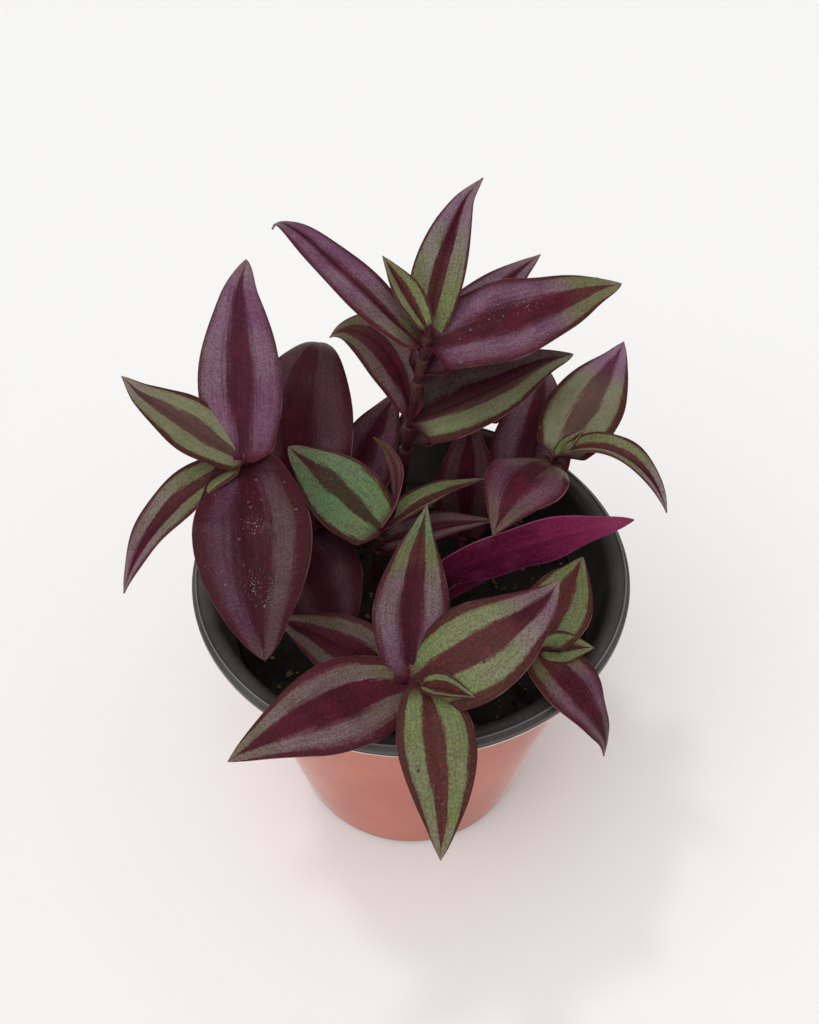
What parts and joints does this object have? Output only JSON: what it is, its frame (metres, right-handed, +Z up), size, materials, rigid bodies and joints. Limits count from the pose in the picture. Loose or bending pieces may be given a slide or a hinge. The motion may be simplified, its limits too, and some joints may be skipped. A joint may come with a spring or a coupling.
{
  "type": "potted tradescantia",
  "caption": "Striped tradescantia with arching leafy shoots, growing in soil in a thin round nursery pot with a rolled rim.",
  "frame": {"origin": "centre of the pot's flat underside, on the surface it stands on", "axes": "+Z up the pot's axis, -Y towards the viewer of the picture, +X to the viewer's right"},
  "size_m": [0.1355, 0.1554, 0.1822],
  "materials": {
    "pot_plastic": "thin blown plastic, satin terracotta outside and glossy black inside and over the rim",
    "potting_soil": "damp dark peat with bark crumbs and a few pale grains",
    "foliage": "fleshy glossy leaf, silvery stripes on dark maroon above and magenta beneath"
  },
  "bodies": {
    "root": {"pot": "pot_plastic", "soil": "potting_soil", "shoot_tall": "foliage", "shoot_left": "foliage", "shoot_centre": "foliage", "shoot_front": "foliage", "shoot_right": "foliage", "shoot_front_right": "foliage", "shoot_low": "foliage", "shoot_inner_left": "foliage", "shoot_inner_right": "foliage", "shoot_rear": "foliage"}
  },
  "joints": []
}
